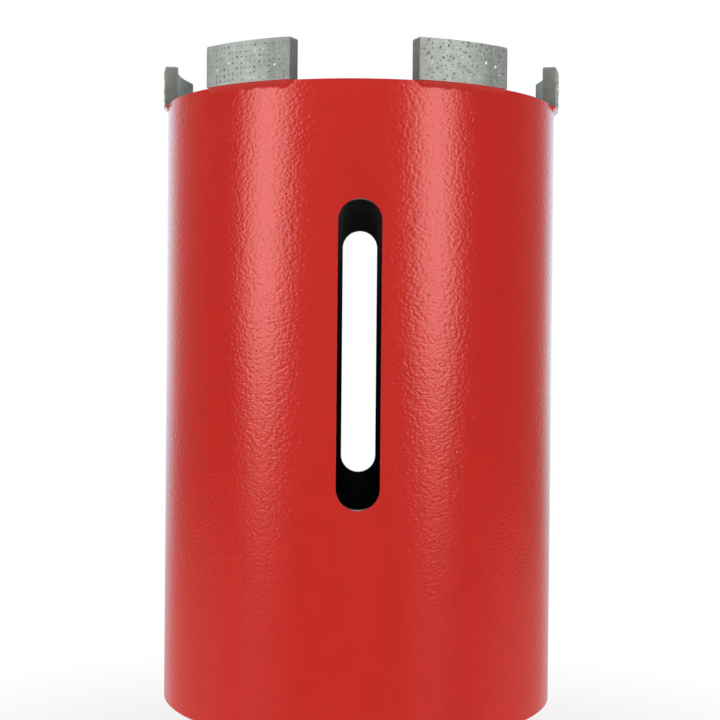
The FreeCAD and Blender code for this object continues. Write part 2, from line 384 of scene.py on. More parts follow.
def makeDarkSteelAndShade():
    # blued steel inside the tube, where the coat doesn't reach, with painted shade: its colour is
    # far darker than the steel's own, for the shade inside the tube
    look = darkSteelAndShadeLook
    material, tree, shader = newMaterial("darkOxideSteelAndShade")
    grain = placeGrain(tree, look)
    feed(tree, shader, {
        "Base Color": addColourMix(tree, grain["Patches"], look["colour"], look["paleColour"]),
        "Roughness": look["roughness"],
        "Specular IOR Level": look["specularLevel"],
        "Normal": addBump(tree, grain["Specks"], look["grainDepth"]),
    })
    return material


matrixGrain = {
    "specksPerMetre": 2600.0,
    "patchesPerMetre": 480.0,
    "marksPerMetre": 1900.0,
    "markStretch": 0.08,
    "shares": (0.45, 0.42, 0.13),  # of specks, patches and dressing marks in the tone
    "grainDepth": 0.03 * mm,
    "roughnessSpread": 0.06,
    "footFade": 9 * mm,
    "sixthStart": -62.5,  # degrees from the front to where a segment's sixth of the ring starts
}
dressedLook = {
    **matrixGrain,
    "darkColour": (0.315, 0.338, 0.32),
    "colour": (0.535, 0.573, 0.545),
    "metallic": 0.2,
    "roughness": 0.52,
    # painted shading: the outer face is darker towards both ends of a segment, most towards one,
    # as the lamps' sheen falls off there; places along a segment's sixth, and levels
    "shadeAlongLevels": [
        (0.27, 0.80), (0.35, 0.91), (0.40, 1.0), (0.50, 1.0), (0.55, 0.95),
        (0.60, 0.79), (0.65, 0.64), (0.70, 0.67), (0.73, 0.70),
    ],
    "footLevel": 1.0,
}
pressedLook = {
    **matrixGrain,
    "darkColour": (0.200, 0.202, 0.194),
    "colour": (0.330, 0.335, 0.322),
    "metallic": 0.5,
    "roughness": 0.5,
    "shadeAlongLevels": [(0.0, 1.0), (1.0, 1.0)],
    "footLevel": 0.70,
}
# the hollow side keeps more of the press's dark skin than the ends do
hollowSideLook = {
    **pressedLook,
    "darkColour": (0.146, 0.134, 0.129),
    "colour": (0.240, 0.223, 0.214),
}


def makeSinteredMetal(name, look):
    # pressed and sintered matrix: dressed with a coarse wheel outside, darker on its other sides
    material, tree, shader = newMaterial(name)
    grain = placeGrain(tree, look)
    place = addPlace(tree)
    # dressing marks run up the segment: noise drawn out to thin upright lines
    drawn = addScaled(tree, place, look["markStretch"])
    marks = addRange(tree, addNoise(tree, drawn, look["marksPerMetre"], 2.0), 0.3, 0.7)
    speckShare, patchShare, markShare = look["shares"]
    tone = addMath(tree, "MULTIPLY", grain["Specks"], speckShare)
    tone = addMath(tree, "MULTIPLY_ADD", grain["Patches"], patchShare, tone)
    tone = addMath(tree, "MULTIPLY_ADD", marks, markShare, tone)
    matrix = addColourMix(tree, tone, look["darkColour"], look["colour"])
    # how far round its own sixth of the ring a point is, from its angle about the axis: it sets
    # the painted shading along each segment
    split = addSplit(tree, place)
    back = addMath(tree, "MULTIPLY", split["Y"], -1.0)
    angle = addMath(tree, "ARCTAN2", split["X"], back)
    sixths = addMath(tree, "MULTIPLY_ADD", angle, 3 / math.pi, -look["sixthStart"] / 60)
    stops = [(position, (level,) * 3) for position, level in look["shadeAlongLevels"]]
    along = addRamp(tree, addMath(tree, "FRACT", sixths), stops)
    fadeEnd = rimHeight + look["footFade"]
    upward = addRange(tree, split["Z"], rimHeight, fadeEnd, look["footLevel"], 1.0)
    # the painted shading along the segment, times the darkening towards the foot
    level = addMath(tree, "MULTIPLY", along, upward)
    dull = look["roughness"] + look["roughnessSpread"]
    bright = look["roughness"] - look["roughnessSpread"]
    feed(tree, shader, {
        "Base Color": addColourMix(tree, level, (0.0, 0.0, 0.0), matrix),
        "Metallic": look["metallic"],
        "Roughness": addRange(tree, tone, 0.0, 1.0, dull, bright),
        "Normal": addBump(tree, tone, look["grainDepth"]),
    })
    return material


crystalGrain = {"specksPerMetre": 5000.0, "patchesPerMetre": 900.0, "indexOfRefraction": 2.0}
darkCrystalLook = {
    **crystalGrain,
    "colour": (0.09, 0.10, 0.09),
    "paleColour": (0.19, 0.21, 0.185),
    "roughness": 0.4,
}
greyCrystalLook = {
    **crystalGrain,
    "colour": (0.20, 0.22, 0.20),
    "paleColour": (0.34, 0.37, 0.34),
    "roughness": 0.4,
}
# crystals painted near white: painted glints on the segments' faces
glintCrystalLook = {
    **crystalGrain,
    "colour": (0.62, 0.65, 0.60),
    "paleColour": (0.86, 0.88, 0.82),
    "roughness": 0.35,
}


def makeCrystalMaterial(name, look):
    material, tree, shader = newMaterial(name)
    patches = placeGrain(tree, look)["Patches"]
    feed(tree, shader, {
        "Base Color": addColourMix(tree, patches, look["colour"], look["paleColour"]),
        "Roughness": look["roughness"],
        "IOR": look["indexOfRefraction"],
    })
    return material


machinedLook = {
    "colour": (0.62, 0.62, 0.63),
    "darkColour": (0.47, 0.47, 0.48),
    "metallic": 0.6,
    "roughness": (0.42, 0.26),  # where the tone is darkest, and where it is palest
    "ringsPerMetre": 3200.0,
    "ringDepth": 0.01 * mm,
    "specksPerMetre": 3500.0,
    "patchesPerMetre": 90.0,
    "shares": (0.6, 0.4),  # of rings and patches in the tone
}


def makeMachinedSteel():
    # turned steel: fine rings about the bit's axis, from noise read by radius and height
    look = machinedLook
    material, tree, shader = newMaterial("machinedSteel")
    split = addSplit(tree, addPlace(tree))
    flat = addNode(tree, "ShaderNodeCombineXYZ", {"X": split["X"], "Y": split["Y"]})
    radius = addLength(tree, flat.outputs["Vector"])
    rings = addNode(tree, "ShaderNodeCombineXYZ", {"X": radius, "Y": split["Z"]})
    lines = addNoise(tree, rings.outputs["Vector"], look["ringsPerMetre"], 2.0)
    marks = addRange(tree, lines, 0.3, 0.7)
    ringShare, patchShare = look["shares"]
    patches = addMath(tree, "MULTIPLY", placeGrain(tree, look)["Patches"], patchShare)
    tone = addMath(tree, "MULTIPLY_ADD", marks, ringShare, patches)
    feed(tree, shader, {
        "Base Color": addColourMix(tree, tone, look["darkColour"], look["colour"]),
        "Metallic": look["metallic"],
        "Roughness": addRange(tree, tone, 0.0, 1.0, *look["roughness"]),
        "Normal": addBump(tree, marks, look["ringDepth"]),
    })
    return material


redCoat = makePowderCoat()
darkSteelAndShade = makeDarkSteelAndShade()
dressedMatrix = makeSinteredMetal("dressedMatrix", dressedLook)
pressedMatrix = makeSinteredMetal("pressedMatrix", pressedLook)
hollowSideMatrix = makeSinteredMetal("hollowSideMatrix", hollowSideLook)
darkCrystal = makeCrystalMaterial("darkDiamond", darkCrystalLook)
greyCrystal = makeCrystalMaterial("greyGreenDiamond", greyCrystalLook)
glintCrystal = makeCrystalMaterial("glintPaintedDiamond", glintCrystalLook)
machinedSteel = makeMachinedSteel()
print("finishes made")


def giveMaterials(piece, *materials):
    piece.data.materials.clear()
    for material in materials:
        piece.data.materials.append(material)


# Barrel: a tube with two round-ended slots, coated outside, and dark steel with painted shade
# inside

barrelShape = {
    "steps": 384,
    "slotEndFacets": 64,
    "edgeRadius": 0.22 * mm,
    "edgeSteps": 3,
    "plainEnds": 5 * mm,  # the least length without a slot at either end
}


def readSlot():
    # half the slot's width, and its lowest and highest points, from the barrel's solid
    plain = barrelShape["plainEnds"]
    points = [
        point
        for point in nodePoints("barrel")
        if point.y < 0 and tubeEnd + plain < point.z < rimHeight - plain
    ]
    lowest = min(point.z for point in points)
    highest = max(point.z for point in points)
    return max(abs(point.x) for point in points), lowest, highest


def makeSlotCutter(shape):
    halfWidth, lowest, highest = readSlot()
    count = shape["slotEndFacets"]
    # half a facet's turn sets two flats upright, and the radius grows so that they keep the width
    halfFacet = math.pi / count
    middle = lowest + halfWidth
    deselectAll()
    bpy.ops.mesh.primitive_cylinder_add(
        vertices=count, radius=halfWidth / math.cos(halfFacet), depth=3 * tubeRadius,
        location=(0, 0, middle), rotation=(math.pi / 2, 0, 0),
    )
    cutter = newPiece("slotCutter")
    settle(cutter)
    editAll(cutter)
    bpy.ops.transform.rotate(value=halfFacet, orient_axis="Y", center_override=(0, 0, middle))
    objectMode()
    selectVertices(cutter, lambda point: point.z > middle)
    bpy.ops.transform.translate(value=(0, 0, highest - lowest - 2 * halfWidth))
    objectMode()
    return cutter


def makeBarrel():
    shape = barrelShape
    edge = shape["edgeRadius"]
    # the closed end has a chamfer outside, as wide as the solid's
    endPoints = [point for point in nodePoints("barrel") if point.z < tubeEnd + 0.01 * mm]
    endRadius = measure(endPoints)[1]
    chamferTop = tubeEnd + tubeRadius - endRadius
    profile = [
        (tubeBore, tubeEnd), (endRadius, tubeEnd), (tubeRadius, chamferTop),
        (tubeRadius, rimHeight), (tubeBore, rimHeight),
    ]
    barrel = turnProfile("slottedBarrel", profile, shape["steps"])
    combine(barrel, makeSlotCutter(shape), "DIFFERENCE")
    softenEdges(barrel, edge, shape["edgeSteps"], 40)
    cleanUp(barrel)
    shadeSmooth(barrel, 40)
    giveMaterials(barrel, redCoat, darkSteelAndShade)
    # the coat covers the outside, the rim and the closed end with its chamfer
    for face in barrel.data.polygons:
        height, radius = face.center.z, radiusOf(face.center)
        outside = radius > tubeRadius - edge
        onRim = height > rimHeight - edge
        onEnd = height < tubeEnd + edge
        onChamfer = height < chamferTop + edge and radius > endRadius - edge
        face.material_index = 0 if outside or onRim or onEnd or onChamfer else 1
    standFor(barrel, "barrel")


makeBarrel()
print("barrel made")


# Segments: curved blocks with parallel ends, set with diamond crystals

segmentShape = {
    "facets": 384,
    "edgeRadius": 0.6 * mm,
    "cornerShare": 0.35,  # the upright corners' radius, as a share of the top edges'
    "edgeSteps": 5,
    "facing": 0.8,  # how squarely an end or the hollow side faces its own way
    "seed": 40,
    "crystalSize": (0.40 * mm, 0.66 * mm),
    "crystalCut": 0.27,  # how far its corners are cut away, as a share of its size
    "crystalStandOut": 0.08,  # share of a crystal's size that stands out of the matrix
    "sunkInside": 0.12 * mm,  # how much deeper the crystals of the hollow side lie
    "plainFoot": 0.25 * mm,
    "plainTop": 0.2 * mm,
    "plainEnd": 0.7 * mm,
    "plainRim": 0.6 * mm,  # on the top face, along both curved edges
    "outerSpread": 1.03,  # the outer face's arc is longer than its chord
    "gridPitch": 1.27 * mm,
    "zigzagColumn": 0.66 * mm,
    "zigzagRise": 3.32 * mm,
    "zigzagLean": 0.38,  # how much higher each column starts, as a share of the rise
    "zigzagPair": 1.15 * mm,
    "jitter": 0.2 * mm,
    # the share of crystals painted near white, as painted glints
    "glintShare": 0.08,
    "greyShare": 0.56,
    "missingShare": 0.06,
}


def readSegment(number):
    points = nodePoints(f"segment_{number}")
    angles = [frontAngle(point) for point in points]
    seat = (min(angles) + max(angles)) / 2
    turn = Matrix.Rotation(-seat, 4, "Z")
    inner, outer, low, high = measure(points)
    return {
        "seat": seat,
        "inner": inner,
        "outer": outer,
        "halfLength": max(abs((turn @ point).x) for point in points),
        "low": low,
        "high": high,
    }


def gridSpots(width, height, shape, dice):
    # aligned rows and columns, which need no dice
    pitch = shape["gridPitch"]
    columns = int(width / pitch)
    rows = int(height / pitch)
    for column in range(columns):
        for row in range(rows):
            across = (column + 0.5 - columns / 2) * pitch
            up = (row + 0.5) * pitch
            yield across, up


def zigzagSpots(width, height, shape, dice):
    # narrow columns, each starting at its own height, repeated upwards
    columns = int(width / shape["zigzagColumn"])
    for column in range(columns):
        across = (column + 0.5 - columns / 2) * shape["zigzagColumn"]
        start = column * shape["zigzagLean"] % 1.0
        up = start * shape["zigzagRise"] * dice.uniform(0.85, 1.0)
        while up < height:
            yield across, up
            if column % 2 == 1:
                yield across, up + shape["zigzagPair"]
            up += shape["zigzagRise"]


def crystalPlaces(size, spots, shape, dice):
    # a list of (place, outward direction) on the outer face, the inner face and the top
    low = size["low"] + shape["plainFoot"]
    tall = size["high"] - low - shape["plainTop"]
    reachable = size["halfLength"] - shape["plainEnd"]
    edge = shape["edgeRadius"]
    places = []
    faces = (
        (size["outer"], 1, shape["outerSpread"], 0.0),
        (size["inner"], -1, 1.0, shape["sunkInside"]),
    )
    for radius, way, spread, deeper in faces:
        for across, up in spots(2 * reachable * spread, tall, shape, dice):
            across += dice.uniform(-1, 1) * shape["jitter"]
            up += dice.uniform(-1, 1) * shape["jitter"]
            angle = across / radius
            if abs(radius * math.sin(angle)) > reachable or not 0 < up < tall:
                continue
            # near the top the face is rounded over
            over = math.asin(max(0.0, low + up - (size["high"] - edge)) / edge)
            reach = radius - way * edge * (1 - math.cos(over))
            outward = Vector((math.sin(angle), -math.cos(angle), 0))
            facing = outward * way * math.cos(over) + Vector((0, 0, math.sin(over)))
            places.append((outward * (reach + deeper) + Vector((0, 0, low + up)), facing))
    thick = size["outer"] - size["inner"] - 2 * shape["plainRim"]
    middle = (size["outer"] + size["inner"]) / 2
    for across, inward in gridSpots(2 * reachable, thick + shape["plainRim"], shape, dice):
        radius = middle + thick / 2 - inward + dice.uniform(-1, 1) * shape["jitter"]
        angle = (across + dice.uniform(-1, 1) * shape["jitter"]) / radius
        spot = Vector((radius * math.sin(angle), -radius * math.cos(angle), size["high"]))
        places.append((spot, Vector((0, 0, 1))))
    return places


def makeCrystal(cut):
    # one blocky crystal, a cube with its corners cut away
    deselectAll()
    bpy.ops.mesh.primitive_cube_add(size=1.0)
    crystal = newPiece("crystal")
    editAll(crystal)
    bpy.ops.mesh.bevel(offset=cut, segments=1, affect="VERTICES")
    objectMode()
    return crystal


def plantCrystals(block, places, shape, dice):
    crystal = makeCrystal(shape["crystalCut"])
    copies = []
    for place, outward in places:
        if dice.random() < shape["missingShare"]:
            continue
        width = dice.uniform(*shape["crystalSize"])
        mesh = crystal.data.copy()
        luck = dice.random()
        # a few crystals are painted near white, as painted glints
        glinting = luck < shape["glintShare"]
        grey = luck < shape["glintShare"] + shape["greyShare"]
        mesh.materials.append(glintCrystal if glinting else greyCrystal if grey else darkCrystal)
        tilt = Euler([dice.uniform(0, roughTurn) for axis in "XYZ"]).to_matrix().to_4x4()
        sunk = place - outward * width * (0.5 - shape["crystalStandOut"])
        mesh.transform(Matrix.Translation(sunk) @ tilt @ Matrix.Scale(width, 4))
        copy = bpy.data.objects.new("crystalCopy", mesh)
        bpy.context.scene.collection.objects.link(copy)
        copies.append(copy)
    bpy.data.objects.remove(crystal)
    makeActive(block)
    for copy in copies:
        copy.select_set(True)
    bpy.ops.object.join()


def roundBlock(segment, size, shape):
    # rounds the top edges, and the upright corners less, by each edge's bevel weight
    end = size["halfLength"]
    tiny = 0.01 * mm
    # facets that an end cuts off too short are closed up: they would hold the rounding back
    for vertex in segment.data.vertices:
        if end - 1.2 * shape["edgeRadius"] < abs(vertex.co.x) < end - tiny / 10:
            radius = radiusOf(vertex.co)
            vertex.co.x = math.copysign(end, vertex.co.x)
            vertex.co.y = -math.sqrt(radius ** 2 - end ** 2)
    cleanUp(segment, tiny)
    points = segment.data.vertices
    weights = segment.data.attributes.new("bevel_weight_edge", "FLOAT", "EDGE")
    for edge, weight in zip(segment.data.edges, weights.data):
        first, second = (points[corner].co for corner in edge.vertices)
        onEnd = min(abs(first.x), abs(second.x)) > end - tiny
        onTop = min(first.z, second.z) > size["high"] - tiny
        outside = min(radiusOf(first), radiusOf(second)) > size["outer"] - tiny
        inside = max(radiusOf(first), radiusOf(second)) < size["inner"] + tiny
        if onTop and (onEnd or outside or inside):
            weight.value = 1.0
        elif onEnd and abs(first.z - second.z) > 1 * mm:
            weight.value = shape["cornerShare"]
    applyModifier(
        segment, "BEVEL", width=shape["edgeRadius"], segments=shape["edgeSteps"],
        limit_method="WEIGHT",
    )


def makeSegment(number):
    shape = segmentShape
    size = readSegment(number)
    dice = random.Random(shape["seed"] + number)
    deselectAll()
    # the block starts lower than its foot, which is cut flat once the other edges are rounded
    below = size["low"] - 3 * shape["edgeRadius"]
    bpy.ops.mesh.primitive_cylinder_add(
        vertices=shape["facets"], radius=size["outer"], depth=size["high"] - below,
        end_fill_type="NOTHING", location=(0, 0, (size["high"] + below) / 2),
    )
    segment = newPiece(f"diamondSegment_{number}")
    settle(segment)
    applyModifier(segment, "SOLIDIFY", thickness=size["outer"] - size["inner"], offset=-1)
    # of the whole ring only the front is kept, between two ends that are parallel
    sliceOff(segment, (0, 0, 0), (0, 1, 0))
    for side in (1, -1):
        sliceOff(segment, (side * size["halfLength"], 0, 0), (side, 0, 0))
    cleanUp(segment)
    roundBlock(segment, size, shape)
    sliceOff(segment, (0, 0, size["low"]), (0, 0, -1))
    cleanUp(segment)
    shadeSmooth(segment, 40)
    giveMaterials(segment, dressedMatrix, pressedMatrix, hollowSideMatrix)
    for face in segment.data.polygons:
        onEnd = abs(face.normal.x) > shape["facing"]
        onHollowSide = face.normal.y > shape["facing"]
        face.material_index = 1 if onEnd else 2 if onHollowSide else 0
    spots = gridSpots if number % 2 else zigzagSpots
    plantCrystals(segment, crystalPlaces(size, spots, shape, dice), shape, dice)
    turnAboutAxis(segment, size["seat"])
    standFor(segment, f"segment_{number}")


for number in segmentNumbers:
    makeSegment(number)
print("segments made")


# Seams: the coated run of braze under each segment's overhang, uneven along its lower edge

seamShape = {
    "reach": 1.75 * mm,
    "overhang": 0.92 * mm,
    "hollow": 1.9,  # 1 is a straight chamfer, and more is hollower
    "sunk": 0.15 * mm,
    "sectionSteps": 10,
    "steps": 72,
    "endTaper": 2.2 * mm,
    "endReach": 0.25,  # what is left of the reach at the very ends
    "beyondEnd": 0.6 * mm,
    "edgeWave": 0.32,
    "seed": 70,
    "waves": 6,
    "waveStrength": (0.5, 1.0),
    "wavePace": (5, 24),
}


def seamSection(shape):
    # a hollow fillet: it leaves the tube's wall gently and swells out to meet the segment
    count = shape["sectionSteps"]
    points = []
    for step in range(count + 1):
        down = step / count
        out = shape["overhang"] * (1 - down) ** shape["hollow"]
        points.append((tubeRadius + out, rimHeight - shape["reach"] * down))
    points.append((tubeRadius - shape["sunk"], rimHeight - shape["reach"]))
    points.append((tubeRadius - shape["sunk"], rimHeight))
    return points


def makeSeam(number):
    shape = seamShape
    size = readSegment(number)
    dice = random.Random(shape["seed"] + number)
    halfLength = size["halfLength"] + shape["beyondEnd"]
    half = math.asin(halfLength / tubeRadius)
    seam = turnProfile(f"brazeSeam_{number}", seamSection(shape), shape["steps"], 2 * half)
    # the middle goes to the front first, then every ring gets its own reach
    angles = [frontAngle(vertex.co) for vertex in seam.data.vertices]
    turnAboutAxis(seam, -(min(angles) + max(angles)) / 2)
    waves = [
        (
            dice.uniform(*shape["waveStrength"]),
            dice.uniform(*shape["wavePace"]),
            dice.uniform(0, roughTurn),
        )
        for wave in range(shape["waves"])
    ]
    total = sum(strength for strength, pace, start in waves)
    for vertex in seam.data.vertices:
        angle = frontAngle(vertex.co)
        along = angle / half
        inset = (1 - abs(along)) * halfLength / shape["endTaper"]
        taper = (1 - math.cos(min(1.0, max(0.0, inset)) * math.pi)) / 2
        wave = sum(
            strength * math.sin(pace * along + start) for strength, pace, start in waves
        ) / total
        endReach = shape["endReach"] + (1 - shape["endReach"]) * taper
        drop = (rimHeight - vertex.co.z) * (1 + shape["edgeWave"] * wave) * endReach
        out = radiusOf(vertex.co) - tubeRadius
        radius = tubeRadius + out * (taper if out > 0 else 1.0)
        vertex.co = (radius * math.sin(angle), -radius * math.cos(angle), rimHeight - drop)
    # both open ends are closed
    editAll(seam)
    bpy.ops.mesh.select_all(action="DESELECT")
    bpy.ops.mesh.select_non_manifold()
    bpy.ops.mesh.edge_face_add()
    objectMode()
    cleanUp(seam)
    shadeSmooth(seam, 50)
    giveMaterials(seam, redCoat)
    turnAboutAxis(seam, size["seat"])
    standFor(seam, f"segment_weld_{number}")


for number in segmentNumbers:
    makeSeam(number)
print("seams made")


# End plate: a turned disc set into the tube, coated below, and dark steel with painted shade above

plateShape = {
    "steps": 288,
    "innerChamfer": 1.0 * mm,
    "soften": 0.2 * mm,
    "coatedEdge": 0.5 * mm,  # how far up its edge the coat reaches
}


def makeEndPlate():
    shape = plateShape
    bore, outer, low, high = measure(nodePoints("end_plate"))
    chamfer = shape["innerChamfer"]
    profile = [
        (bore, low), (outer, low), (outer, high - chamfer), (outer - chamfer, high), (bore, high),
    ]
    plate = turnProfile("endPlate", profile, shape["steps"])
    softenEdges(plate, shape["soften"], 2)
    cleanUp(plate)
    shadeSmooth(plate, 35)
    giveMaterials(plate, redCoat, darkSteelAndShade)
    for face in plate.data.polygons:
        face.material_index = 0 if face.center.z < low + shape["coatedEdge"] else 1
    standFor(plate, "end_plate")


# Ring welds: a bead round the hub's collar and one round the plate, both with ripples

beadShape = {
    "hubRipples": 78,
    "plateRipples": 150,
    "rippleDepth": 0.10,
    "unevenness": 0.5,
    "bow": 1.5,  # how much the ripples are bowed
    "sectionSteps": 8,
    "stepsPerRipple": 6,
    "stillCorner": 0.05,  # what lies this close to the corner stays put, as a share of the face
}


def beadSection(fromPoint, toPoint, corner, spots, count):
    # a swollen face between two points, closed at the corner that it fills;
    # it swells as far as the solid does, whose points are the spots
    start, end, inner = Vector(fromPoint), Vector(toPoint), Vector(corner)
    middle = (start + end) / 2
    away = (middle - inner).normalized()
    bulge = max((Vector((radiusOf(spot), spot.z)) - middle).dot(away) for spot in spots)
    points = []
    for step in range(count + 1):
        share = step / count
        points.append(tuple(start.lerp(end, share) + away * bulge * 4 * share * (1 - share)))
    points.append(corner)
    return points


def makeBead(name, node, onPlate, onWall, corner, ripples):
    shape = beadShape
    section = beadSection(onPlate, onWall, corner, nodePoints(node), shape["sectionSteps"])
    bead = turnProfile(name, section, ripples * shape["stepsPerRipple"])
    still = shape["stillCorner"] * math.dist(onPlate, onWall)
    dice = random.Random(len(name))
    tilt = [dice.uniform(-0.5, 0.5) for ripple in range(ripples)]
    for vertex in bead.data.vertices:
        radius = radiusOf(vertex.co)
        if math.dist((radius, vertex.co.z), corner) < still:
            continue
        angle = frontAngle(vertex.co)
        across = (radius - min(onPlate[0], onWall[0])) / abs(onPlate[0] - onWall[0])
        turn = angle / (2 * math.pi) % 1.0 * ripples + shape["bow"] * (across - 0.5) ** 2
        phase = turn % 1.0
        # each ripple rises slowly and drops quickly, as a weld pool freezes
        strength = 1 + shape["unevenness"] * tilt[int(turn) % ripples]
        lift = (phase - 0.5) * shape["rippleDepth"] * strength
        edge = math.sin(math.pi * min(1.0, max(0.0, across)))
        scale = 1 + lift * edge
        toward = Vector((math.sin(angle), -math.cos(angle), 0))
        vertex.co = toward * (corner[0] + (radius - corner[0]) * scale) + Vector(
            (0, 0, corner[1] + (vertex.co.z - corner[1]) * scale)
        )
    cleanUp(bead)
    shadeSmooth(bead, 60)
    giveMaterials(bead, redCoat)
    standFor(bead, node)


def makeRingWelds():
    # the hub's bead lies outside the wall that it climbs, and the plate's bead inside it
    wall, foot, low, high = measure(nodePoints("hub_weld"))
    ripples = beadShape["hubRipples"]
    makeBead("hubBead", "hub_weld", (foot, high), (wall, low), (wall, high), ripples)
    foot, wall, low, high = measure(nodePoints("plate_weld"))
    ripples = beadShape["plateRipples"]
    makeBead("plateBead", "plate_weld", (foot, high), (wall, low), (wall, high), ripples)


makeEndPlate()
makeRingWelds()
print("end plate and ring welds made")


# Threaded hub: a turned collar and spigot with a hexagon, bored and tapped right through

hubShape = {
    "steps": 192,
    "pitch": 1.814 * mm,
    "threadDepth": 1.162 * mm,
    "flankAngle": 27.5,
    "mouthChamfer": 1.2 * mm,
    "topChamfer": 0.8 * mm,
    "cornerAngle": 30,
    "turnedInside": 0.3 * mm,  # how far inside the flats the turning of the corners starts
    "soften": 0.22 * mm,
    "stepsPerTurn": 60,
    "hexagonBelow": 16 * mm,  # a height that only the hexagon is under
}


def readHub(shape):
    # the collar is the widest part, the hexagon the lowest and the spigot the highest
    points = nodePoints("threaded_hub")
    bore, collar, low, high = measure(points)
    below = [point for point in points if point.z < shape["hexagonBelow"]]
    spigot = max(radiusOf(point) for point in points if point.z > high - 1 * mm)
    return {
        "low": low,
        "high": high,
        "bore": bore,
        "halfFlats": max(abs(point.x) for point in below),
        "collar": collar,
        "collarTop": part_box("hub_weld")[1].z,
        "hexTop": min(point.z for point in points if radiusOf(point) > collar - 0.6 * mm),
        "spigot": spigot,
    }


def makeTap(size, shape):
    # the space that a tap cuts: one pitch of the thread's outline, screwed up the bore
    pitch, depth = shape["pitch"], shape["threadDepth"]
    flank = depth * math.tan(math.radians(shape["flankAngle"]))
    land = (pitch - 2 * flank) / 2
    crest, root = size["bore"] - 0.02 * mm, size["bore"] + depth
    outline = [
        (crest, 0.0), (crest, land), (root, land + flank), (root, 2 * land + flank),
        (crest, pitch),
    ]
    turns = int((size["high"] - size["low"]) / pitch) + 5
    start = size["low"] - 2.5 * pitch
    deselectAll()
    bpy.ops.mesh.primitive_circle_add(vertices=len(outline), fill_type="NOTHING")
    tap = newPiece("tap")
    for vertex, (radius, height) in zip(tap.data.vertices, outline):
        vertex.co = (radius, 0, start + height)
    # the circle's closing edge, from the last corner to the first, isn't part of the outline
    last = len(outline) - 1
    editAll(tap)
    bpy.ops.mesh.select_mode(type="EDGE")
    bpy.ops.mesh.select_all(action="DESELECT")
    objectMode()
    for edge in tap.data.edges:
        edge.select = set(edge.vertices) == {0, last}
    bpy.ops.object.mode_set(mode="EDIT")
    bpy.ops.mesh.delete(type="EDGE_FACE")
    objectMode()
    applyModifier(
        tap, "SCREW", axis="Z", angle=2 * math.pi, screw_offset=pitch, iterations=turns,
        steps=shape["stepsPerTurn"], render_steps=shape["stepsPerTurn"],
        use_merge_vertices=True, merge_threshold=0.001 * mm,
    )
    cleanUp(tap)
    sliceOff(tap, (0, 0, size["high"] + pitch / 2), (0, 0, 1))
    sliceOff(tap, (0, 0, size["low"] - pitch / 2), (0, 0, -1))
    cleanUp(tap)
    return tap


def makeHub():
    shape = hubShape
    size = readHub(shape)
    low, high, halfFlats = size["low"], size["high"], size["halfFlats"]
    hexTop, collarTop = size["hexTop"], size["collarTop"]
    # hexagon with two flats facing left and right, its corners turned off at the open end
    corner = halfFlats / math.cos(math.pi / 6)
    wide = corner + 1 * mm
    prismLow, prismHigh = low - 1 * mm, hexTop + 0.4 * mm
    deselectAll()
    bpy.ops.mesh.primitive_cylinder_add(
        vertices=6, radius=corner, depth=prismHigh - prismLow,
        location=(0, 0, (prismHigh + prismLow) / 2),
    )
    hub = newPiece("threadedHub")
    settle(hub)
    if max(abs(vertex.co.x) for vertex in hub.data.vertices) > halfFlats + 0.5 * mm:
        turnAboutAxis(hub, math.pi / 6)
    softenEdges(hub, shape["soften"], 2, 28)
    inset = shape["turnedInside"]
    rise = (wide - halfFlats + inset) * math.tan(math.radians(shape["cornerAngle"]))
    cone = turnProfile(
        "hexTurning",
        [
            (0.0, low), (halfFlats - inset, low), (wide, low + rise),
            (wide, hexTop + 1 * mm), (0.0, hexTop + 1 * mm),
        ],
        shape["steps"],
    )
    softenEdges(cone, shape["soften"], 2, 20)
    combine(hub, cone, "INTERSECT")
    body = turnProfile(
        "collarAndSpigot",
        [
            (0.0, hexTop), (size["collar"], hexTop), (size["collar"], collarTop),
            (size["spigot"], collarTop), (size["spigot"], high), (0.0, high),
        ],
        shape["steps"],
    )
    softenEdges(body, shape["soften"], 2, 28)
    combine(hub, body, "UNION")
    cleanUp(hub, 0.0005 * mm)
    mouth, top, bore = shape["mouthChamfer"], shape["topChamfer"], size["bore"]
    countersinks = turnProfile(
        "countersinks",
        [
            (0.0, low - 1 * mm), (bore + mouth + 1 * mm, low - 1 * mm), (bore, low + mouth),
            (bore, high - top), (bore + top + 1 * mm, high + 1 * mm), (0.0, high + 1 * mm),
        ],
        shape["steps"],
    )
    combine(hub, countersinks, "DIFFERENCE")
    combine(hub, makeTap(size, shape), "DIFFERENCE")
    cleanUp(hub, 0.0005 * mm)
    shadeSmooth(hub, 30)
    giveMaterials(hub, machinedSteel)
    standFor(hub, "threaded_hub")
    return hub


hub = makeHub()
print("hub made:", len(hub.data.polygons), "faces")


# Camera: as the photograph was taken, from the front at the height of the barrel's upper part

cameraPlace = {
    "lens": 72.17,  # mm, as is the sensor's width
    "sensorWidth": 36.0,
    "distance": 378.4 * mm,  # from the bit's axis
    "belowRim": 59.5 * mm,
    "lookDown": 0.778,  # degrees
    "lean": 0.532,  # degrees, so that the bit's top leans to the right
    "yaw": 0.042,  # degrees
    "clip": (10 * mm, 20.0),  # the nearest and farthest that it sees
}


def makeCamera():
    place = cameraPlace
    camera = bpy.data.objects.new("camera", bpy.data.cameras.new("camera"))
    bpy.context.scene.collection.objects.link(camera)
    camera.data.lens = place["lens"]
    camera.data.sensor_width = place["sensorWidth"]
    camera.data.clip_start, camera.data.clip_end = place["clip"]
    camera.location = (0, -place["distance"], rimHeight - place["belowRim"])
    upright = Euler((math.radians(90 - place["lookDown"]), 0, math.radians(-place["yaw"])))
    lean = Matrix.Rotation(math.radians(place["lean"]), 3, "Z")
    camera.rotation_euler = (upright.to_matrix() @ lean).to_euler()
    bpy.context.scene.camera = camera


makeCamera()


# Stage: a small pale table in a white studio, with two tall soft lamps at the front

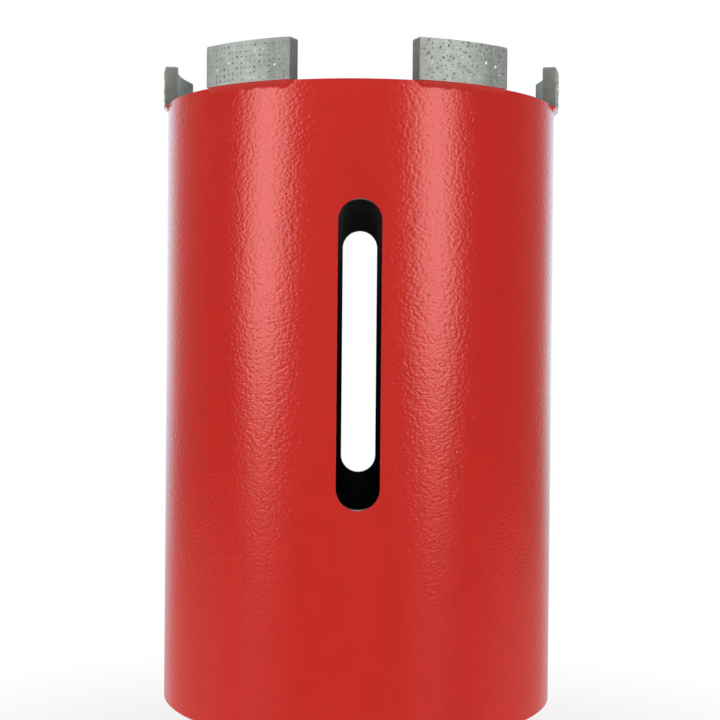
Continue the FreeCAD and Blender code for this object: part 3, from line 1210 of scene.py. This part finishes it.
stageLook = {
    "tableRadius": 0.17,
    "tableColour": (0.95, 0.95, 0.95),
    "tableGap": 0.02 * mm,  # between the table and the hub that stands on it
    "tableFade": (0.05, 0.55),  # from this radius and this level to the white at its rim
    "tableGlow": 0.6,  # how far it shines on the bit
    "surroundLight": 0.595,  # what lights the bit from all round
    # what the coat mirrors, from the room in front to the wall behind: places, and levels
    "wallLevels": [
        (0.0, 0.10), (0.15, 0.07), (0.35, 0.015), (0.50, 0.02), (0.62, 0.12),
        (0.74, 0.21), (0.86, 0.40), (0.93, 1.32), (1.0, 1.32),
    ],
    "wallTurn": -0.035,  # the wall behind reaches a little further round on the left
    "backLight": (0.78, 1.10, 1.22),  # the colour of the levels over a half
    "warmLight": (1.0, 0.94, 0.86),  # and of the rest
    "floorLevel": 0.33,  # how much of it is left for rays that go down
    "floorFade": (-0.24, 0.0),
    "lampDistance": 1.0,
    "lampGap": 0.01,  # from a lamp's layer to the next
    "lampTop": 1.1,
    "leftLamp": (-55.0, 32.0),  # degrees from the front, and how wide
    "rightLamp": (43.4, 30.0),
    "lowLampColour": (1.0, 0.93, 0.80),
    "lowWall": (1.6, 0.82, 0.78),  # the walls' light from the floor
    "lowWallShare": 0.35,
    "lowWallFade": (-0.21, -0.10),
    "sideFade": (-0.6, 0.0),
    # each lamp is built up of layers, so that it fades to its sides and downward:
    # a layer's share of the lamp's width, its lower end and its radiance
    "lampLayers": [
        (1.1, 0.22, 0.8), (0.9, 0.09, 0.8), (0.65, 0.13, 1.0), (0.4, -0.06, 1.1),
        (0.9, -0.5, 0.24),
    ],
    "topLight": 1.1,  # what glossy rays see that go steeply up, and steeply down
    "footLight": 0.6,
    "steepFade": (0.45, 0.85),
}


def makeTable():
    look = stageLook
    deselectAll()
    bpy.ops.mesh.primitive_circle_add(
        vertices=96, radius=look["tableRadius"], fill_type="NGON",
        location=(0, 0, -look["tableGap"]),
    )
    table = newPiece("table")
    settle(table)
    material, tree, shader = newMaterial("paleTable")
    matt = {"Base Color": look["tableColour"], "Roughness": 0.9, "Specular IOR Level": 0.0}
    feed(tree, shader, matt)
    glow = addNode(tree, "ShaderNodeEmission", {"Strength": 1.0})
    # for the camera the table fades into the white surround towards its rim
    start, startLevel = look["tableFade"]
    distance = addLength(tree, addPlace(tree))
    fade = addRange(tree, distance, start, look["tableRadius"], startLevel, 1.0)
    ray = addNode(tree, "ShaderNodeLightPath").outputs
    seen = addMath(tree, "MULTIPLY", ray["Is Camera Ray"], fade)
    cast = addMath(tree, "MULTIPLY", ray["Is Diffuse Ray"], look["tableGlow"])
    share = addMath(tree, "ADD", seen, cast)
    lit = addShaderMix(tree, share, shader.outputs["BSDF"], glow.outputs["Emission"])
    # it is clear from below, so that the hub can be looked at, and in the coat's reflections
    back = addNode(tree, "ShaderNodeNewGeometry").outputs["Backfacing"]
    unseen = addMath(tree, "MAXIMUM", back, ray["Is Glossy Ray"])
    clear = addNode(tree, "ShaderNodeBsdfTransparent").outputs["BSDF"]
    surface = addShaderMix(tree, unseen, lit, clear)
    feed(tree, tree.nodes["Material Output"], {"Surface": surface})
    giveMaterials(table, material)


def makeWorld():
    # white where the camera looks; glossy rays see the lit wall behind and a dim room in front
    look = stageLook
    world = bpy.data.worlds.new("studio")
    bpy.context.scene.world = world
    world.use_nodes = True
    tree = world.node_tree
    tree.nodes.clear()
    ray = addNode(tree, "ShaderNodeLightPath").outputs
    split = addSplit(tree, addNode(tree, "ShaderNodeTexCoord").outputs["Generated"])
    aside = addMath(tree, "MULTIPLY", split["X"], look["wallTurn"])
    depth = addMath(tree, "ADD", split["Y"], aside)
    # a ramp's colours stop at 1, so they are halved there and doubled after it
    gain = 2.0
    stops = []
    for position, level in look["wallLevels"]:
        tint = look["backLight"] if level > 0.5 else look["warmLight"]
        stops.append((position, [level * part / gain for part in tint]))
    wall = addRamp(tree, addRange(tree, depth, -1.0, 1.0), stops, "B_SPLINE")
    bright = addNode(tree, "ShaderNodeVectorMath", {0: wall, "Scale": gain}, operation="SCALE")
    lowFade = addRange(tree, split["Z"], *look["floorFade"], look["floorLevel"], 1.0)
    lit = addColourMix(tree, lowFade, (0.0, 0.0, 0.0), bright.outputs["Vector"])
    # further down the walls at the sides and behind are lit by the floor
    beside = addRange(tree, depth, *look["sideFade"])
    low = addRange(tree, split["Z"], *look["lowWallFade"], look["lowWallShare"], 0.0)
    lit = addColourMix(tree, addMath(tree, "MULTIPLY", beside, low), lit, look["lowWall"])
    # glossy rays that go steeply up or down see a soft light too
    start, full = look["steepFade"]
    for way, light in ((1, "topLight"), (-1, "footLight")):
        steep = addRange(tree, split["Z"], start * way, full * way)
        lit = addColourMix(tree, steep, lit, (look[light],) * 3)
    surround = (look["surroundLight"],) * 3
    seen = addColourMix(tree, ray["Is Glossy Ray"], surround, lit)
    clear = addMath(tree, "MAXIMUM", ray["Is Camera Ray"], ray["Is Transmission Ray"])
    white = addColourMix(tree, clear, seen, (1.0, 1.0, 1.0))
    background = addNode(tree, "ShaderNodeBackground", {"Color": white})
    addNode(tree, "ShaderNodeOutputWorld", {"Surface": background.outputs["Background"]})


def makeLamp(name, azimuth, spread, bottom, radiance, distance):
    look = stageLook
    lamp = bpy.data.lights.new(name, "AREA")
    lamp.shape = "RECTANGLE"
    lamp.size = 2 * distance * math.tan(math.radians(spread / 2))
    lamp.size_y = look["lampTop"] - bottom
    lamp.energy = radiance * math.pi * lamp.size * lamp.size_y
    if bottom < 0:
        lamp.color = look["lowLampColour"]
    light = bpy.data.objects.new(name, lamp)
    bpy.context.scene.collection.objects.link(light)
    angle = math.radians(azimuth)
    outward = Vector((math.sin(angle), -math.cos(angle), 0))
    light.location = outward * distance + Vector((0, 0, (look["lampTop"] + bottom) / 2))
    light.rotation_euler = (-outward).to_track_quat("-Z", "Y").to_euler()


makeTable()
makeWorld()
for side in ("leftLamp", "rightLamp"):
    azimuth, spread = stageLook[side]
    for layer, (share, bottom, radiance) in enumerate(stageLook["lampLayers"]):
        distance = stageLook["lampDistance"] - stageLook["lampGap"] * layer
        makeLamp(f"{side}_{layer + 1}", azimuth, spread * share, bottom, radiance, distance)
bpy.context.scene.view_settings.view_transform = "Standard"
print("stage made")
